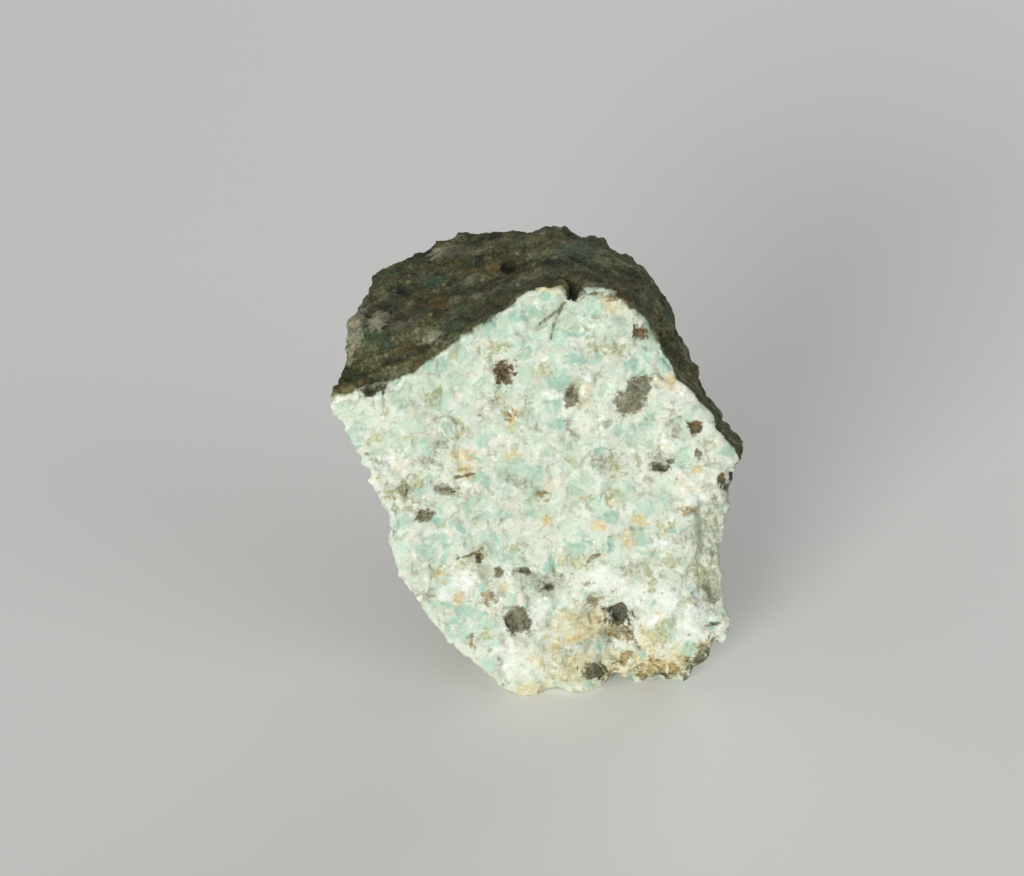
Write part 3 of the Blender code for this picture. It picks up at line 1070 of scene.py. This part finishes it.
def attribute(tree, name, out="Fac"):
    return add_node(tree, "ShaderNodeAttribute", attribute_name=name).outputs[out]


def ragged_edges(tree, place, warped):
    """Values from about 0 to 1 that give the marks angular, frayed edges."""
    cells = voronoi(tree, warped, 0.5)
    chips = add_node(tree, "ShaderNodeSeparateColor", {0: cells.outputs["Color"]}).outputs[0]
    rough = step_between(tree, noise(tree, place, 0.5, 3.0, 0.6), 0.25, 0.75)
    return mix_values(tree, 0.55, chips, rough)


def add_marks(tree, place, warped, fresh, worn):
    """Lays every kind of marks, painted shade and highlights among them, over the fresh rock's colour and the
    skin's.
    """
    mark_tree = mark_group()
    ragged = ragged_edges(tree, place, warped)
    mottled = patchy(tree, place, "mottling")
    for mark_kind, (softness, fray, strength, darker, lighter, on_skin) in MARK_LOOKS.items():
        inside = attribute(tree, mark_kind)
        mask = add_group(tree, mark_tree, Inside=inside, Noise=ragged, Fray=fray, Softness=softness)["Mask"]
        mask = maths(tree, "MULTIPLY", mask, strength)
        fresh = mix_colours(tree, mask, fresh, mix_colours(tree, mottled, srgb(*darker), srgb(*lighter)))
        worn = mix_colours(tree, maths(tree, "MULTIPLY", mask, MARKS_ON_SKIN), worn, srgb(*on_skin))
    return fresh, worn


def stone_bump(tree, place, warped, covered):
    """Small tilted chips and fine grain on the break, and pitted grain on the skin, as a normal."""
    chips = facet_height(tree, warped, *BUMP_CHIPS)
    splinters = facet_height(tree, moved(tree, warped, 9.0), *BUMP_SPLINTERS)
    grain = maths(tree, "MULTIPLY", noise(tree, place, GRAIN_BUMP_SIZE, 4.0, 0.7), GRAIN_BUMP)
    fresh = maths(tree, "ADD", maths(tree, "ADD", chips, splinters), grain)
    pitted = maths(tree, "MULTIPLY", noise(tree, place, PIT_SIZE, 7.0, 0.8), PIT_DEPTH)
    height = mix_values(tree, covered, fresh, pitted)
    inputs = {"Strength": BUMP_STRENGTH, "Distance": MM, "Height": height}
    return add_node(tree, "ShaderNodeBump", inputs).outputs["Normal"]


def age_rock(tree, place, fresh):
    """The older break at the back and underneath: dulled, with iron stains and scattered darker grains."""
    aged = attribute(tree, "aged")
    dulled = mix_colours(tree, 1.0, fresh, srgb(*AGED_TINT), "MULTIPLY")
    stained = mix_colours(tree, 0.4, dulled, srgb(*AGED_STAIN_COLOUR))
    old = mix_colours(tree, patchy(tree, place, "aged stain"), dulled, stained)
    colour = mix_colours(tree, maths(tree, "MULTIPLY", aged, 0.9), fresh, old)
    unseen = attribute(tree, "unseen")
    grey = maths(tree, "MULTIPLY", flecks(tree, place, "grey"), unseen)
    colour = mix_colours(tree, maths(tree, "MULTIPLY", grey, 0.8), colour, srgb(*GREY_FLECK_COLOUR))
    brown = maths(tree, "MULTIPLY", flecks(tree, place, "brown"), unseen)
    return mix_colours(tree, brown, colour, srgb(*BROWN_FLECK_COLOUR))


def covered_by_skin(tree, place):
    """Where the weathered skin lies: its edge is ragged in fine steps and wanders in wide ones."""
    skin = attribute(tree, "skin")
    ragged = maths(tree, "SUBTRACT", noise(tree, place, 0.9, 4.0, 0.6), 0.5)
    wandering = maths(tree, "SUBTRACT", noise(tree, moved(tree, place, 23.0), 6.0, 5.0, 0.6), 0.5)
    between = maths(tree, "MULTIPLY", maths(tree, "MULTIPLY", skin, maths(tree, "SUBTRACT", 1.0, skin)), 12.0)
    return maths(tree, "ADD", maths(tree, "ADD", skin, ragged), maths(tree, "MULTIPLY", between, wandering))


def stone_material():
    material = bpy.data.materials.new("amazonite rock")
    material.use_nodes = True
    tree = material.node_tree
    shader = tree.nodes["Principled BSDF"]
    place = attribute(tree, "place", "Vector")
    warped = roughened(tree, warped_place(tree, place))
    rock_tree = fresh_rock_group(crystal_group())
    rock = add_group(tree, rock_tree, Place=place, Warped=warped, Relief=attribute(tree, "relief"))
    weathered = add_group(tree, weathered_skin_group(), Place=place)
    fresh = age_rock(tree, place, rock["Colour"])
    fresh, worn = add_marks(tree, place, warped, fresh, weathered["Colour"])
    worn = mix_colours(tree, 1.0, worn, weathered["Grain"], "MULTIPLY")
    edge = covered_by_skin(tree, place)
    fringe = maths(tree, "MULTIPLY", step_between(tree, edge, 0.05, 0.4), 0.6)
    fresh = mix_colours(tree, fringe, fresh, srgb(*FRINGE_COLOUR))
    covered = step_between(tree, edge, 0.35, 0.55)
    plug(tree, shader.inputs["Base Color"], mix_colours(tree, covered, fresh, worn))
    plug(tree, shader.inputs["Roughness"], mix_values(tree, covered, rock["Roughness"], SKIN_ROUGHNESS))
    plug(tree, shader.inputs["Normal"], stone_bump(tree, place, warped, covered))
    return material


def floor_material():
    material = bpy.data.materials.new("pale floor")
    material.use_nodes = True
    shader = material.node_tree.nodes["Principled BSDF"]
    shader.inputs["Base Color"].default_value = srgb(*FLOOR_COLOUR)
    shader.inputs["Roughness"].default_value = FLOOR_ROUGHNESS
    return material


# The set


def make_floor():
    bpy.ops.object.select_all(action="DESELECT")
    bpy.ops.mesh.primitive_plane_add(size=FLOOR_SIZE)
    floor = bpy.context.active_object
    floor.name = "floor"
    floor.data.materials.append(floor_material())


def soft_light(name, place, size, power, colour):
    """A square area light that faces the stone."""
    data = bpy.data.lights.new(name, "AREA")
    data.size = size
    data.color = colour
    data.energy = power
    light = bpy.data.objects.new(name, data)
    light.location = place
    light.rotation_euler = (LIGHTS_AIM - light.location).to_track_quat("-Z", "Y").to_euler()
    bpy.context.scene.collection.objects.link(light)


def make_lights():
    for name, (place, size, power, colour) in LIGHTS.items():
        soft_light(name, Vector(place), size, power, colour)
    world = bpy.data.worlds.new("studio")
    world.use_nodes = True
    background = world.node_tree.nodes["Background"]
    background.inputs["Color"].default_value = ROOM_COLOUR
    background.inputs["Strength"].default_value = ROOM_STRENGTH
    bpy.context.scene.world = world
    bpy.context.scene.view_settings.view_transform = "Standard"


def main():
    make_camera()
    stone = make_stone()
    stone.data.materials.clear()
    stone.data.materials.append(stone_material())
    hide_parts("amazonite")
    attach(stone, "root")
    make_floor()
    make_lights()


main()
